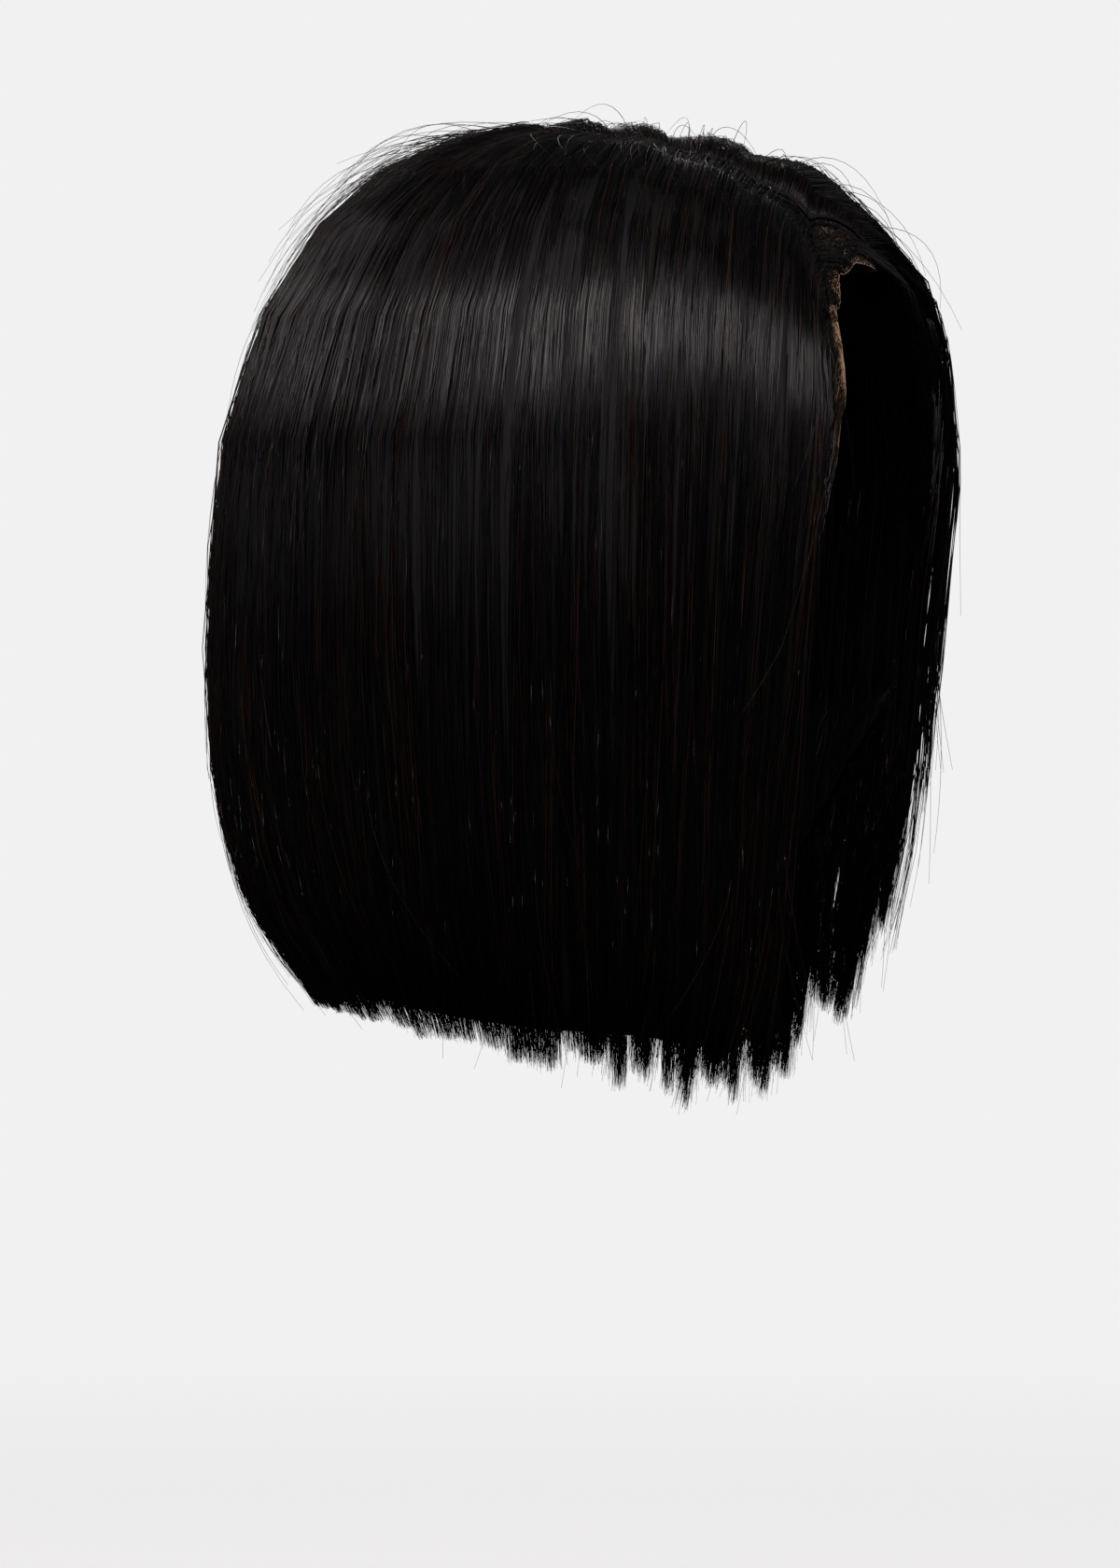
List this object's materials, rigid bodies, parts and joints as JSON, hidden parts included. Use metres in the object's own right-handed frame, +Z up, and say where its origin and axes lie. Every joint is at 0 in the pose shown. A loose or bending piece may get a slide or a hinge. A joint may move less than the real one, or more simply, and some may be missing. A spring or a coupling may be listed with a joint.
{
  "type": "lace front wig",
  "caption": "Black straight A-line bob wig with a lace front, a side parting on the wearer's right and a fringe swept to the left, shaped as worn.",
  "frame": {"origin": "inside top of the cap's crown, where it rests on the head", "axes": "+Z up, -Y towards the face, +X towards the wearer's left"},
  "size_m": [0.192, 0.2316, 0.3002],
  "materials": {
    "hair": "fine straight strands with a soft satin shine",
    "nape_hair": "fine straight strands, duller than the top layer",
    "wisp": "thin loose lock of fine strands",
    "cap": "matt stretch net",
    "lace": "sheer skin-coloured lace"
  },
  "bodies": {
    "root": {"cap_crown": "cap", "cap_right_side": "cap", "cap_right_back": "cap", "cap_left_back": "cap", "cap_left_side": "cap", "lace_front": "lace", "fringe_wisp": "wisp", "right_face_hair": "hair", "right_front_hair": "hair", "right_side_hair": "hair", "right_rear_hair": "hair", "back_outer_right_hair": "hair", "back_inner_right_hair": "hair", "back_centre_hair": "hair", "back_inner_left_hair": "hair", "back_outer_left_hair": "hair", "left_rear_hair": "hair", "left_side_hair": "hair", "left_front_hair": "hair", "swept_top_hair": "hair", "swept_fringe": "hair", "nape_layer_right": "nape_hair", "nape_layer_centre": "nape_hair", "nape_layer_left": "nape_hair"}
  },
  "joints": []
}
